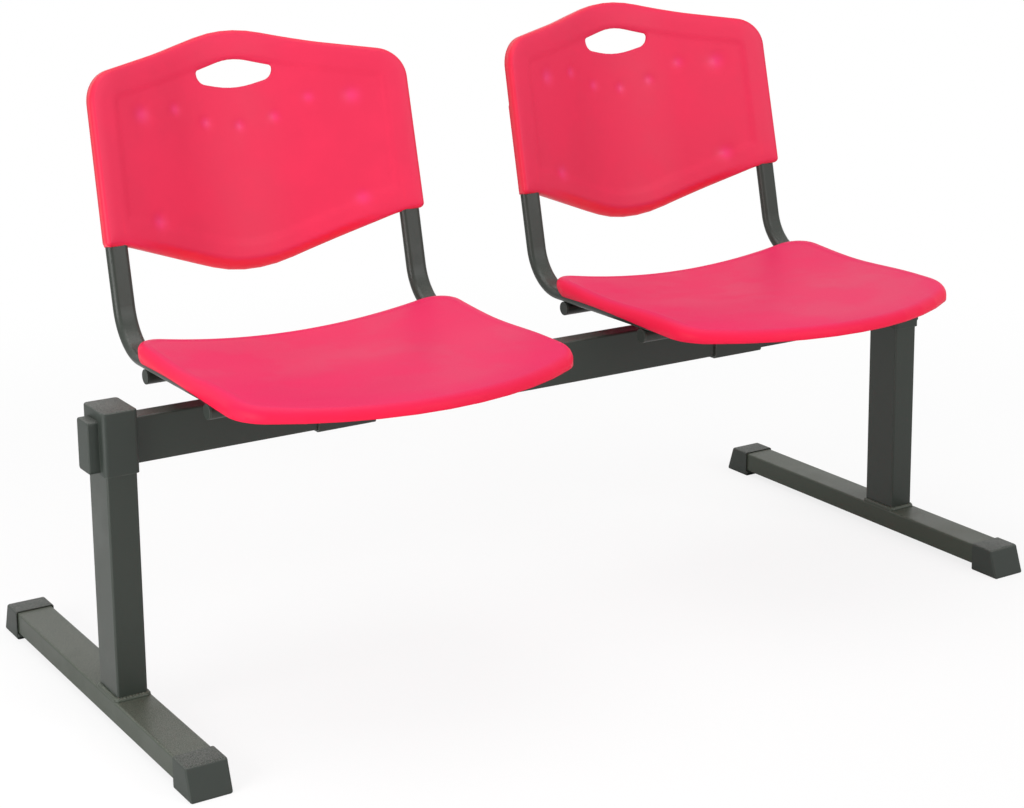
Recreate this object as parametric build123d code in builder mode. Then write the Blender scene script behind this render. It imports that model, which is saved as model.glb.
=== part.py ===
"""A two-seat beam bench: plastic seats and backs on a painted steel tube frame.

Millimetres, +Z up. The bench stands on z = 0, faces -Y, and its beam runs along X.
The origin is on the floor, under the middle of the overall box.
"""
import os
from math import cos, radians, sin, tan

from build123d import *

os.makedirs("parts", exist_ok=True)

# Layout
post_spacing = 1280.0
seat_pitch = 645.4
beam_top = 395.0
foot_front_reach = 264.0
foot_rear_reach = 373.0
seat_front_reach = 285.0
seat_rear_gap = 37.0
cross_tube_spacing = 190.0
side_tube_spacing = 441.4
upright_reach = 171.0
rail_overhang = 20.0
upright_length = 268.0
back_lean = 12.0

# Rectangular tubes of the frame
foot_width = 50.0
foot_height = 30.0
post_width = 40.0
post_depth = 60.0
beam_depth = 30.0
beam_height = 60.0
frame_wall = 2.0
frame_corner = 3.0
weld_leg = 3.0

# Foot caps
cap_sole = 8.7
cap_wall = 2.0
cap_length = 50.6
cap_top_length = 36.5
cap_nose_height = 14.0
cap_pocket = 31.0
cap_edge = 2.0
sleeve_clearance = 0.2

# Post heads: cover, bearing plate and beam end caps
post_head_room = 13.0
slot_clearance = 0.3
cover_wall = 2.8
cover_roof = 2.5
cover_skirt = 5.4
cover_edge = 2.5
plate_thickness = 5.0
plate_clearance = 0.3
end_cap_wall = 3.0
end_cap_length = 14.0
end_cap_edge = 2.0

# Bolts, washers and nuts
bolt_diameter = 8.0
bolt_clearance = 0.5
hex_across_flats = 13.0
hex_head_height = 5.3
nut_height = 6.5
washer_diameter = 16.0
washer_thickness = 1.6
thread_run_out = 3.0

# Seat carriers
carrier_width = 84.0
carrier_thickness = 6.0
carrier_overhang = 12.0
clamp_thickness = 3.0
clamp_ear = 34.0
clamp_clearance = 0.2
clamp_bolt_pitch = 56.0
cross_tube_diameter = 20.0
cross_tube_wall = 1.5
cross_tube_inset = 6.0
plug_head = 2.0
plug_stem = 12.0
plug_edge = 0.8

# Bent side tubes
side_tube_width = 30.0
side_tube_thickness = 15.0
side_tube_wall = 1.5
side_tube_bend = 70.5

# Screws
screw_diameter = 4.5
screw_head_diameter = 9.0
screw_head_height = 2.6
screw_bite = 5.5
seat_screw_pitch = 130.0
seat_screw_offset = -5.0
back_screw_height = 210.0

# Seat pans: lifts, dishes and laps are measured from the top of the rails
seat_skin = 3.0
seat_skirt_clearance = 0.5
seat_skirt_lap = 10.5
seat_lip_lap = 13.5
seat_edge = 9.0
seat_rear_corner = 36.0
seat_front_corner = 62.0
seat_front_radius = 385.0
seat_side_lift = 12.0
seat_rear_lift = 12.5
seat_rear_dish = 31.0
seat_middle_dish = 15.0
seat_crest_dish = 7.0
seat_crest_reach = 130.0
seat_front_drop = 6.5
seat_front_dish = 1.5
seat_rear_arch = 8.0
seat_boss_diameter = 18.0
rail_clearance = 0.5

# Back shells: places along the upright are measured from the corner of rail and upright
back_side_cover = 3.3
back_side_taper = 2.5
back_peak = 420.0
back_shoulder = 358.0
back_corner = 137.0
back_low_point = 72.0
back_low_half_width = 211.0
back_peak_radius = 160.0
back_shoulder_radius = 52.0
back_corner_radius = 7.0
back_hip_radius = 40.0
back_low_radius = 205.0
back_skin = 3.2
back_depth = 20.0
back_edge = 5.0
back_band = 36.0
back_band_angle = 17.5
back_wing_angle = 21.3
back_band_radius = 60.0
back_bow_radius = 264.0
back_border = 40.0
back_inset = 0.8
hole_height = 357.5
hole_half_width = 60.0
hole_peak = 23.0
hole_low = 24.0
hole_upper_corner = 5.5
hole_lower_corner = 9.5
hole_taper = 4.0
hole_peak_radius = 45.0
hole_low_radius = 100.0
hole_upper_radius = 9.0
hole_lower_radius = 11.0
pocket_wall = 3.0
pocket_clearance = 0.4

# Working allowances: how far blocks that are cut to shape run past the finished piece
working_margin = 10.0
working_depth = 60.0

# Places worked out from the sizes above
beam_y = (seat_front_reach - foot_rear_reach) / 2
beam_bottom = beam_top - beam_height
foot_top = cap_sole + foot_height
post_x = post_spacing / 2
post_top = beam_top + post_head_room
seat_x = seat_pitch / 2
cover_width = post_width + 2 * (sleeve_clearance + cover_wall)
cover_depth = post_depth + 2 * (sleeve_clearance + cover_wall)
cover_bottom = beam_bottom - cover_skirt
end_cap_x = post_x + cover_width / 2
beam_end = end_cap_x + end_cap_length - end_cap_wall
carrier_top = beam_top + carrier_thickness
cross_tube_z = carrier_top + cross_tube_diameter / 2
rail_bottom = carrier_top + cross_tube_diameter
rail_z = rail_bottom + side_tube_thickness / 2
rail_top = rail_bottom + side_tube_thickness
side_tube_x = side_tube_spacing / 2
side_tube_outside = side_tube_x + side_tube_width / 2
rail_front_reach = cross_tube_spacing / 2 + rail_overhang
cross_tube_end = side_tube_outside - cross_tube_inset
seat_half_width = side_tube_outside + seat_skirt_clearance + seat_skin
seat_rear_reach = upright_reach - seat_rear_gap
back_bottom_half_width = side_tube_outside + back_side_cover
back_top_half_width = back_bottom_half_width - back_side_taper
bolt_hole = (bolt_diameter + bolt_clearance) / 2
clamp_bolt_y = beam_depth / 2 + clamp_ear / 2
post_places = [(-post_x, 0, 0), (post_x, 0, 0)]
sides = [("left", -1), ("right", 1)]

# The plane of the beam's section: its X is +Y from the beam's middle, its Y is +Z from the floor
beam_side = Plane(origin=(0, beam_y, 0), x_dir=(0, 1, 0), z_dir=(1, 0, 0))

# The upright's own plane: its origin is the corner of rail and upright, its Y runs up the upright
# and its Z points forward, out of the face of the back
lean = radians(back_lean)
back_plane = Plane(
    origin=(0, beam_y + upright_reach, rail_z),
    x_dir=(1, 0, 0),
    z_dir=(0, -cos(lean), sin(lean)),
)


def across_back(height):
    """The plane square to the upright at a height along it; its Y points to the rear."""
    return Plane(
        origin=back_plane.from_local_coords((0, height, 0)),
        x_dir=(1, 0, 0),
        z_dir=back_plane.y_dir,
    )


def tube_section(width, height, wall, corner):
    """Draw a rectangular tube's wall in the sketch that is open."""
    RectangleRounded(width, height, corner)
    RectangleRounded(width - 2 * wall, height - 2 * wall, corner - wall, mode=Mode.SUBTRACT)


def placed(piece, places):
    """Copy a piece to each place, as one group of separate solids."""
    with BuildPart() as group:
        with Locations(*places):
            add(piece)
    return group.part


def save(piece, name):
    """Label a piece and write it under its node's name."""
    piece.label = name
    export_step(piece, f"parts/{name}.step")


# Foot tubes: rectangular tube lying front to back
foot_tube_rear = beam_y + foot_rear_reach - cap_length + cap_pocket
foot_tube_front = beam_y - foot_front_reach + cap_length - cap_pocket
with BuildPart() as foot_tube:
    with BuildSketch(Plane.XZ.offset(-foot_tube_rear)):
        with Locations((0, cap_sole + foot_height / 2)):
            tube_section(foot_width, foot_height, frame_wall, frame_corner)
    extrude(amount=foot_tube_rear - foot_tube_front)

# Foot caps: moulded sleeves over the tube's ends, with a thick sole and a slanted nose
with BuildPart() as foot_cap:
    with BuildSketch(Plane.YZ):
        with BuildLine():
            Polyline(
                (0, 0),
                (-cap_length, 0),
                (-cap_length, cap_nose_height),
                (-cap_top_length, foot_top + cap_wall),
                (0, foot_top + cap_wall),
                close=True,
            )
        make_face()
    extrude(amount=foot_width / 2 + sleeve_clearance + cap_wall, both=True)
    outer_edges = foot_cap.edges().filter_by(lambda edge: edge.center().Y < -1)
    fillet(outer_edges.filter_by(lambda edge: edge.center().Z > 1), cap_edge)
    with BuildSketch(Plane.XZ):
        with Locations((0, cap_sole + foot_height / 2)):
            RectangleRounded(foot_width + 2 * sleeve_clearance, foot_height, frame_corner)
    extrude(amount=cap_pocket, mode=Mode.SUBTRACT)

# Posts: rectangular tube, slotted from the top so that the beam drops through
with BuildPart() as post:
    with BuildSketch(Plane.XY.offset(foot_top)):
        with Locations((0, beam_y)):
            tube_section(post_width, post_depth, frame_wall, frame_corner)
    extrude(amount=post_top - foot_top)
    with BuildSketch(Plane.XY.offset(beam_bottom)):
        with Locations((0, beam_y)):
            Rectangle(post_width, beam_depth + 2 * slot_clearance)
    extrude(amount=beam_height + post_head_room, mode=Mode.SUBTRACT)

# Weld beads: a fillet of weld round the foot of each post
with BuildPart() as post_weld:
    with BuildSketch(Plane.XY.offset(foot_top)):
        with Locations((0, beam_y)):
            RectangleRounded(
                post_width + 2 * weld_leg, post_depth + 2 * weld_leg, frame_corner + weld_leg
            )
    extrude(amount=weld_leg, taper=45)
    with BuildSketch(Plane.XY.offset(foot_top)):
        with Locations((0, beam_y)):
            RectangleRounded(post_width, post_depth, frame_corner)
    extrude(amount=weld_leg, mode=Mode.SUBTRACT)

# Bearing plates: welded across the inside of the post, under the beam
plate_bottom = beam_bottom - plate_thickness
with BuildPart() as bearing_plate:
    with BuildSketch(Plane.XY.offset(plate_bottom)):
        with Locations((0, beam_y)):
            RectangleRounded(
                post_width - 2 * (frame_wall + plate_clearance),
                post_depth - 2 * (frame_wall + plate_clearance),
                frame_corner - frame_wall,
            )
            Circle(bolt_hole, mode=Mode.SUBTRACT)
    extrude(amount=plate_thickness)

# Beam: one rectangular tube through both post heads, drilled for the two hold-down bolts
with BuildPart() as beam_tube:
    with BuildSketch(Plane.YZ.offset(-beam_end)):
        with Locations((beam_y, beam_top - beam_height / 2)):
            tube_section(beam_depth, beam_height, frame_wall, frame_corner)
    extrude(amount=2 * beam_end)
    with BuildSketch(Plane.XY.offset(beam_bottom)):
        with Locations((-post_x, beam_y), (post_x, beam_y)):
            Circle(bolt_hole)
    extrude(amount=beam_height, mode=Mode.SUBTRACT)

# Beam end caps: sleeves pushed over the beam's ends, up against the covers
with BuildPart() as beam_end_cap:
    with BuildSketch(Plane.YZ.offset(end_cap_x)):
        with Locations((beam_y, beam_top - beam_height / 2)):
            RectangleRounded(
                beam_depth + 2 * end_cap_wall,
                beam_height + 2 * end_cap_wall,
                frame_corner + end_cap_wall / 2,
            )
    extrude(amount=end_cap_length)
    fillet(beam_end_cap.faces().sort_by(Axis.X)[-1].edges(), end_cap_edge)
    with BuildSketch(Plane.YZ.offset(end_cap_x)):
        with Locations((beam_y, beam_top - beam_height / 2)):
            RectangleRounded(beam_depth, beam_height, frame_corner)
    extrude(amount=end_cap_length - end_cap_wall, mode=Mode.SUBTRACT)

# Joint covers: moulded boxes over the post heads, open below, with slots astride the beam
with BuildPart() as joint_cover:
    with BuildSketch(Plane.XY.offset(cover_bottom)):
        with Locations((0, beam_y)):
            RectangleRounded(cover_width, cover_depth, frame_corner + cover_wall)
    extrude(amount=post_top + cover_roof - cover_bottom)
    fillet(joint_cover.faces().sort_by(Axis.Z)[-1].edges(), cover_edge)
    with BuildSketch(Plane.XY.offset(cover_bottom)):
        with Locations((0, beam_y)):
            RectangleRounded(
                post_width + 2 * sleeve_clearance, post_depth + 2 * sleeve_clearance, frame_corner
            )
    extrude(amount=post_top - cover_bottom, mode=Mode.SUBTRACT)
    with BuildSketch(Plane.XY.offset(cover_bottom)):
        with Locations((0, beam_y)):
            Rectangle(cover_width, beam_depth + 2 * slot_clearance)
    extrude(amount=beam_top + slot_clearance - cover_bottom, mode=Mode.SUBTRACT)


def hex_bolt(head_plane, length):
    """A hexagon bolt whose head stands on a plane and whose shank runs the other way."""
    with BuildPart() as bolt:
        with BuildSketch(head_plane):
            RegularPolygon(hex_across_flats / 2, 6, major_radius=False)
        extrude(amount=hex_head_height)
        with BuildSketch(head_plane):
            Circle(bolt_diameter / 2)
        extrude(amount=-length)
    return bolt.part


def hex_nut(seat_plane):
    """A hexagon nut that stands on a plane."""
    with BuildPart() as nut:
        with BuildSketch(seat_plane):
            RegularPolygon(hex_across_flats / 2, 6, major_radius=False)
            Circle(bolt_diameter / 2, mode=Mode.SUBTRACT)
        extrude(amount=nut_height)
    return nut.part


# Hold-down bolts, washers and nuts: down through the beam into the bearing plates
beam_bolt_seat = Plane.XY.offset(beam_top + washer_thickness)
beam_bolt_length = washer_thickness + beam_height + plate_thickness + nut_height + thread_run_out
beam_bolt = hex_bolt(beam_bolt_seat, beam_bolt_length)
beam_nut = hex_nut(Plane.XY.offset(plate_bottom - nut_height))
with BuildPart() as beam_washer:
    with BuildSketch(Plane.XY.offset(beam_top)):
        Circle(washer_diameter / 2)
        Circle(bolt_hole, mode=Mode.SUBTRACT)
    extrude(amount=washer_thickness)

# Carrier plates: flat plates on the beam, with the cross tubes welded on top
carrier_length = cross_tube_spacing + 2 * carrier_overhang
clamp_bolt_places = [
    (side * clamp_bolt_pitch / 2, beam_y + end * clamp_bolt_y) for side in (-1, 1) for end in (-1, 1)
]
with BuildPart() as carrier_plate:
    with BuildSketch(Plane.XY.offset(beam_top)):
        with Locations((0, beam_y)):
            Rectangle(carrier_width, carrier_length)
        with Locations(*clamp_bolt_places):
            Circle(bolt_hole, mode=Mode.SUBTRACT)
    extrude(amount=carrier_thickness)

# Saddle clamps: bent strap round the beam's underside, with an ear each way
clamp_middle = beam_depth / 2 + clamp_clearance + clamp_thickness / 2
ear_z = beam_top - clamp_thickness / 2
base_z = beam_bottom - clamp_thickness / 2
with BuildPart() as saddle_clamp:
    with BuildSketch(beam_side):
        with BuildLine():
            FilletPolyline(
                (-clamp_middle - clamp_ear, ear_z),
                (-clamp_middle, ear_z),
                (-clamp_middle, base_z),
                (clamp_middle, base_z),
                (clamp_middle, ear_z),
                (clamp_middle + clamp_ear, ear_z),
                radius=clamp_thickness,
            )
        trace(line_width=clamp_thickness)
    extrude(amount=carrier_width / 2, both=True)
    with BuildSketch(Plane.XY.offset(beam_top - clamp_thickness)):
        with Locations(*clamp_bolt_places):
            Circle(bolt_hole)
    extrude(amount=clamp_thickness, mode=Mode.SUBTRACT)

# Clamp bolts and nuts: heads under the ears, nuts on the carrier
clamp_bolt_length = clamp_thickness + carrier_thickness + nut_height + thread_run_out
clamp_bolt = hex_bolt(Plane.XY.offset(beam_top - clamp_thickness).rotated((180, 0, 0)), clamp_bolt_length)
clamp_nut = hex_nut(Plane.XY.offset(carrier_top))

# Cross tubes: round tube under the rails, front and rear of the beam
cross_tube_length = 2 * cross_tube_end
with BuildPart() as cross_tube:
    with BuildSketch(Plane.YZ.offset(-cross_tube_length / 2)):
        with Locations((beam_y, cross_tube_z)):
            Circle(cross_tube_diameter / 2)
            Circle(cross_tube_diameter / 2 - cross_tube_wall, mode=Mode.SUBTRACT)
    extrude(amount=cross_tube_length)

# Plugs in the cross tubes' ends
with BuildPart() as cross_tube_plug:
    with BuildSketch(Plane.YZ.offset(cross_tube_end)):
        with Locations((beam_y, cross_tube_z)):
            Circle(cross_tube_diameter / 2)
    extrude(amount=plug_head)
    fillet(cross_tube_plug.faces().sort_by(Axis.X)[-1].edges(), plug_edge)
    with BuildSketch(Plane.YZ.offset(cross_tube_end)):
        with Locations((beam_y, cross_tube_z)):
            Circle(cross_tube_diameter / 2 - cross_tube_wall)
    extrude(amount=-plug_stem)

# Side tubes: flat-oval tube, bent from the rail under the seat into the upright behind it
rail_front = Plane(
    origin=(0, beam_y - rail_front_reach, rail_z), x_dir=(1, 0, 0), z_dir=(0, 1, 0)
)
seat_screw_places = [
    (0, beam_y + seat_screw_offset + end * seat_screw_pitch / 2) for end in (-1, 1)
]
with BuildPart() as side_tube:
    with BuildLine(beam_side):
        FilletPolyline(
            (-rail_front_reach, rail_z),
            (upright_reach, rail_z),
            (
                upright_reach + upright_length * sin(lean),
                rail_z + upright_length * cos(lean),
            ),
            radius=side_tube_bend,
        )
    with BuildSketch(rail_front):
        SlotOverall(side_tube_width, side_tube_thickness)
        SlotOverall(
            side_tube_width - 2 * side_tube_wall,
            side_tube_thickness - 2 * side_tube_wall,
            mode=Mode.SUBTRACT,
        )
    sweep()
    with BuildSketch(Plane.XY.offset(rail_bottom)):
        with Locations(*seat_screw_places):
            Circle(screw_diameter / 2)
    extrude(amount=side_tube_thickness, mode=Mode.SUBTRACT)
    with BuildSketch(back_plane):
        with Locations((0, back_screw_height)):
            Circle(screw_diameter / 2)
    extrude(amount=-side_tube_thickness, mode=Mode.SUBTRACT)

# Plugs in the rails' front ends
with BuildPart() as rail_plug:
    with BuildSketch(rail_front):
        SlotOverall(side_tube_width, side_tube_thickness)
    extrude(amount=-plug_head)
    fillet(rail_plug.faces().sort_by(Axis.Y)[0].edges(), plug_edge)
    with BuildSketch(rail_front):
        SlotOverall(
            side_tube_width - 2 * side_tube_wall, side_tube_thickness - 2 * side_tube_wall
        )
    extrude(amount=plug_stem)

# Seat pans: a moulded skin, dished at the rear and rolled over at the front, with a skirt all round
# that laps the rails. Each section: its place, its side's top, its dish, its skirt's foot, its arch
seat_side_z = rail_top + seat_side_lift
skirt_z = rail_top - seat_skirt_lap
lip_z = rail_top - seat_lip_lap
seat_sections = [
    (
        seat_rear_reach + working_margin,
        seat_side_z + seat_rear_lift,
        seat_rear_dish,
        skirt_z,
        seat_rear_arch,
    ),
    (0.0, seat_side_z, seat_middle_dish, skirt_z, seat_front_dish),
    (-seat_crest_reach, seat_side_z, seat_crest_dish, lip_z, seat_front_dish),
    (
        -seat_front_reach - working_margin,
        seat_side_z - seat_front_drop,
        seat_front_dish,
        lip_z,
        seat_front_dish,
    ),
]


def seat_layer(depth, foot_drop):
    """The dished seat from a depth below its top face down to its skirt's foot, or lower by a drop."""
    half = seat_half_width + working_margin
    with BuildPart() as layer:
        for reach, side_z, dish, foot_z, arch in seat_sections:
            top = side_z - depth
            foot = foot_z - foot_drop
            with BuildSketch(Plane.XZ.offset(-beam_y - reach)):
                with BuildLine():
                    ThreePointArc((-half, top), (0, top - dish), (half, top))
                    Line((half, top), (half, foot))
                    ThreePointArc((half, foot), (0, foot - arch), (-half, foot))
                    Line((-half, foot), (-half, top))
                make_face()
        loft()
    return layer.part


def seat_outline(inset):
    """Draw the seat's outline, drawn in by an inset, in the sketch that is open."""
    half = seat_half_width
    rear = beam_y + seat_rear_reach
    front = beam_y - seat_front_reach
    arc_centre = front + seat_front_radius
    shoulder = arc_centre - (seat_front_radius**2 - half**2) ** 0.5
    with BuildSketch(mode=Mode.PRIVATE) as outline:
        with BuildLine():
            Polyline((-half, shoulder), (-half, rear), (half, rear), (half, shoulder))
            ThreePointArc((half, shoulder), (0, front), (-half, shoulder))
        make_face()
        corners = outline.vertices().group_by(Axis.Y)
        fillet(corners[-1], seat_rear_corner)
        corners = outline.vertices().filter_by(lambda corner: abs(corner.Y - shoulder) < 0.01)
        fillet(corners, seat_front_corner)
        if inset:
            offset(amount=-inset, mode=Mode.REPLACE)
    add(outline.sketch)


seat_base = Plane.XY.offset(rail_top - working_depth)
seat_height = 2 * working_depth
with BuildPart() as seat_hollow:
    add(seat_layer(seat_skin, working_depth))
    with BuildSketch(seat_base):
        seat_outline(seat_skin)
    extrude(amount=seat_height, mode=Mode.INTERSECT)
    hollow_face = seat_hollow.faces().sort_by(SortBy.AREA)[-2:].sort_by(Axis.Z)[-1]
    fillet(hollow_face.edges(), seat_edge - seat_skin)

with BuildPart() as seat_bosses:
    with BuildSketch(Plane.XY.offset(rail_top)):
        for side in (-1, 1):
            with Locations((side * side_tube_x, 0)):
                with Locations(*seat_screw_places):
                    Circle(seat_boss_diameter / 2)
    extrude(amount=working_depth)
    add(seat_layer(seat_skin / 2, working_depth), mode=Mode.INTERSECT)

# The room that the side tubes take under the seat, with a clearance in front, above and behind
room_top = side_tube_thickness / 2 + rail_clearance
room_corner = upright_reach - room_top / tan(radians(45 + back_lean / 2))
room_front = -rail_front_reach - plug_head - rail_clearance
with BuildPart() as rail_room:
    with BuildSketch(beam_side):
        with BuildLine():
            bend_line = FilletPolyline(
                (room_front, rail_z + room_top),
                (room_corner, rail_z + room_top),
                (room_corner + working_depth * sin(lean), rail_z + room_top + working_depth * cos(lean)),
                radius=side_tube_bend - room_top,
            )
            Polyline(
                bend_line @ 1,
                (upright_reach + working_depth, rail_z),
                (upright_reach + working_depth, rail_z - working_depth),
                (room_front, rail_z - working_depth),
                bend_line @ 0,
            )
        make_face()
    extrude(amount=side_tube_width / 2 + rail_clearance, both=True)

with BuildPart() as seat_pan:
    add(seat_layer(0, 0))
    with BuildSketch(seat_base):
        seat_outline(0)
    extrude(amount=seat_height, mode=Mode.INTERSECT)
    seat_face = seat_pan.faces().sort_by(SortBy.AREA)[-2:].sort_by(Axis.Z)[-1]
    fillet(seat_face.edges(), seat_edge)
    add(seat_hollow.part, mode=Mode.SUBTRACT)
    with Locations((-side_tube_x, 0, 0), (side_tube_x, 0, 0)):
        add(rail_room.part, mode=Mode.SUBTRACT)
    add(seat_bosses.part)
    with BuildSketch(Plane.XY.offset(rail_top)):
        for side in (-1, 1):
            with Locations((side * side_tube_x, 0)):
                with Locations(*seat_screw_places):
                    Circle(screw_diameter / 2)
    extrude(amount=screw_bite, mode=Mode.SUBTRACT)

# Back shells: a moulded skin bowed across, with a deep rim, pockets over the uprights and a hand hole
back_span = back_peak - back_low_point + 2 * working_margin
band_x = back_top_half_width - back_band
band_front = side_tube_thickness / 2 + pocket_clearance
wing_slope = tan(radians(back_wing_angle))
band_slope = tan(radians(back_band_angle))
edge_x = back_bottom_half_width + working_margin


def back_layer(front, rear):
    """A layer of the bowed back between two depths behind its face, as tall as the whole back."""
    half_curve = [
        (edge_x, band_front + band_slope * (edge_x - band_x)),
        (band_x, band_front),
        (0, band_front - wing_slope * band_x),
    ]
    curve = half_curve + [(-x, forward) for x, forward in reversed(half_curve[:-1])]
    radii = [back_band_radius, back_bow_radius, back_band_radius]
    with BuildPart() as layer:
        with BuildSketch(across_back(back_low_point - working_margin)):
            with BuildLine():
                face_curve = FilletPolyline(*[(x, front - forward) for x, forward in curve], radius=radii)
                rear_curve = FilletPolyline(*[(x, rear - forward) for x, forward in curve], radius=radii)
                Line(face_curve @ 0, rear_curve @ 0)
                Line(face_curve @ 1, rear_curve @ 1)
            make_face()
        extrude(amount=back_span)
    return layer.part


def mirrored_loop(half_loop):
    """Close half an outline, listed from its top point to its low point, about X = 0."""
    return half_loop + [(-x, height) for x, height in reversed(half_loop) if x > 0]


def fillet_corners(outline, loop_radii):
    """Round the outline's corners, each pair given as one of its points and a radius."""
    for (x, height), radius in loop_radii:
        corners = outline.vertices().filter_by(
            lambda corner: abs(abs(corner.X) - x) < 0.01 and abs(corner.Y - height) < 0.01
        )
        fillet(corners, radius)


def back_outline(inset):
    """Draw the back's outline, drawn in by an inset, in the sketch that is open."""
    peak = (0, back_peak)
    shoulder = (back_top_half_width, back_shoulder)
    corner = (back_bottom_half_width, back_corner)
    hip = (back_low_half_width, back_corner)
    low = (0, back_low_point)
    with BuildSketch(mode=Mode.PRIVATE) as outline:
        with BuildLine():
            Polyline(*mirrored_loop([peak, shoulder, corner, hip, low]), close=True)
        make_face()
        fillet_corners(
            outline,
            [
                (peak, back_peak_radius),
                (shoulder, back_shoulder_radius),
                (corner, back_corner_radius),
                (hip, back_hip_radius),
                (low, back_low_radius),
            ],
        )
        if inset:
            offset(amount=-inset, mode=Mode.REPLACE)
    add(outline.sketch)


def hand_hole():
    """Draw the hand hole in the sketch that is open."""
    peak = (0, hole_height + hole_peak)
    upper = (hole_half_width, hole_height + hole_upper_corner)
    lower = (hole_half_width - hole_taper, hole_height - hole_lower_corner)
    low = (0, hole_height - hole_low)
    with BuildSketch(mode=Mode.PRIVATE) as outline:
        with BuildLine():
            Polyline(*mirrored_loop([peak, upper, lower, low]), close=True)
        make_face()
        fillet_corners(
            outline,
            [
                (peak, hole_peak_radius),
                (upper, hole_upper_radius),
                (lower, hole_lower_radius),
                (low, hole_low_radius),
            ],
        )
    add(outline.sketch)


# The back's outline is cut through a block that runs from behind the bow to in front of the edges
back_reach = wing_slope * band_x + back_depth
back_cut = back_plane.offset(-back_reach)
back_cut_depth = 2 * back_reach

with BuildPart() as back_hollow:
    add(back_layer(back_skin, back_depth + working_margin))
    with BuildSketch(back_cut):
        back_outline(back_skin)
    extrude(amount=back_cut_depth, mode=Mode.INTERSECT)

with BuildPart() as back_panel:
    add(back_layer(-working_margin, back_inset))
    with BuildSketch(back_cut):
        back_outline(back_border)
    extrude(amount=back_cut_depth, mode=Mode.INTERSECT)

pocket_width = side_tube_width + 2 * (pocket_clearance + pocket_wall)
pocket_depth = side_tube_thickness / 2 + pocket_clearance + pocket_wall
pocket_top = upright_length + pocket_clearance + pocket_wall
with BuildPart() as back_pockets:
    with BuildSketch(across_back(back_corner)):
        for side in (-1, 1):
            with Locations((side * side_tube_x, 0)):
                SlotOverall(pocket_width, 2 * pocket_depth)
    extrude(amount=pocket_top - back_corner)
    with BuildSketch(back_cut):
        back_outline(0)
    extrude(amount=back_cut_depth, mode=Mode.INTERSECT)

with BuildPart() as back_shell:
    add(back_layer(0, back_depth))
    with BuildSketch(back_cut):
        back_outline(0)
    extrude(amount=back_cut_depth, mode=Mode.INTERSECT)
    back_faces = back_shell.faces().filter_by(lambda face: face.normal_at().dot(back_plane.z_dir) > 0.5)
    rim_edges = back_faces.edges().filter_by(
        lambda edge: sum(edge in face.edges() for face in back_faces) == 1
    )
    fillet(rim_edges, back_edge)
    add(back_hollow.part, mode=Mode.SUBTRACT)
    add(back_pockets.part)
    with BuildSketch(across_back(back_corner - working_margin)):
        for side in (-1, 1):
            with Locations((side * side_tube_x, 0)):
                SlotOverall(
                    side_tube_width + 2 * pocket_clearance, side_tube_thickness + 2 * pocket_clearance
                )
    extrude(amount=upright_length + pocket_clearance - back_corner + working_margin, mode=Mode.SUBTRACT)
    with BuildSketch(back_cut):
        hand_hole()
    extrude(amount=back_cut_depth, mode=Mode.SUBTRACT)
    add(back_panel.part, mode=Mode.SUBTRACT)
    with BuildSketch(back_plane):
        for side in (-1, 1):
            with Locations((side * side_tube_x, back_screw_height)):
                Circle(screw_diameter / 2)
    extrude(amount=-2 * pocket_depth, mode=Mode.SUBTRACT)


def pan_screw(seat_plane, length):
    """A pan-headed screw whose head stands on a plane and whose shank runs the other way."""
    with BuildPart() as screw:
        with BuildSketch(seat_plane):
            Circle(screw_head_diameter / 2)
        extrude(amount=screw_head_height)
        head_axis = Axis(seat_plane.origin, seat_plane.z_dir)
        fillet(screw.faces().sort_by(head_axis)[-1].edges(), screw_head_height / 2)
        with BuildSketch(seat_plane):
            Circle(screw_diameter / 2)
        extrude(amount=-length)
    return screw.part


# Screws: up through the rails into the seat bosses, and forward through the pockets into the uprights
seat_screw = pan_screw(Plane.XY.offset(rail_bottom).rotated((180, 0, 0)), side_tube_thickness + screw_bite)
back_screw_seat = Plane(
    origin=back_plane.from_local_coords((0, back_screw_height, -pocket_depth)),
    x_dir=(1, 0, 0),
    z_dir=-back_plane.z_dir,
)
back_screw = pan_screw(back_screw_seat, pocket_depth)

# Pieces of the stand
for side, sign in sides:
    post_place = [(sign * post_x, 0, 0)]
    save(placed(foot_tube.part, post_place), f"foot_tube_{side}")
    save(placed(post.part, post_place), f"post_{side}")
    save(placed(post_weld.part, post_place), f"post_weld_{side}")
    save(placed(bearing_plate.part, post_place), f"bearing_plate_{side}")
    save(placed(joint_cover.part, post_place), f"joint_cover_{side}")
    front_cap = Location((sign * post_x, beam_y - foot_front_reach + cap_length, 0))
    rear_cap = Location((sign * post_x, beam_y + foot_rear_reach - cap_length, 0), (0, 0, 180))
    save(placed(foot_cap.part, [front_cap]), f"foot_cap_front_{side}")
    save(placed(foot_cap.part, [rear_cap]), f"foot_cap_rear_{side}")
save(beam_tube.part, "beam_tube")
save(beam_end_cap.part, "beam_end_cap_right")
save(mirror(beam_end_cap.part, about=Plane.YZ), "beam_end_cap_left")
beam_bolt_places = [(x, beam_y, 0) for x, y, z in post_places]
save(placed(beam_bolt, beam_bolt_places), "beam_bolts")
save(placed(beam_washer.part, beam_bolt_places), "beam_washers")
save(placed(beam_nut, beam_bolt_places), "beam_nuts")

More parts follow.
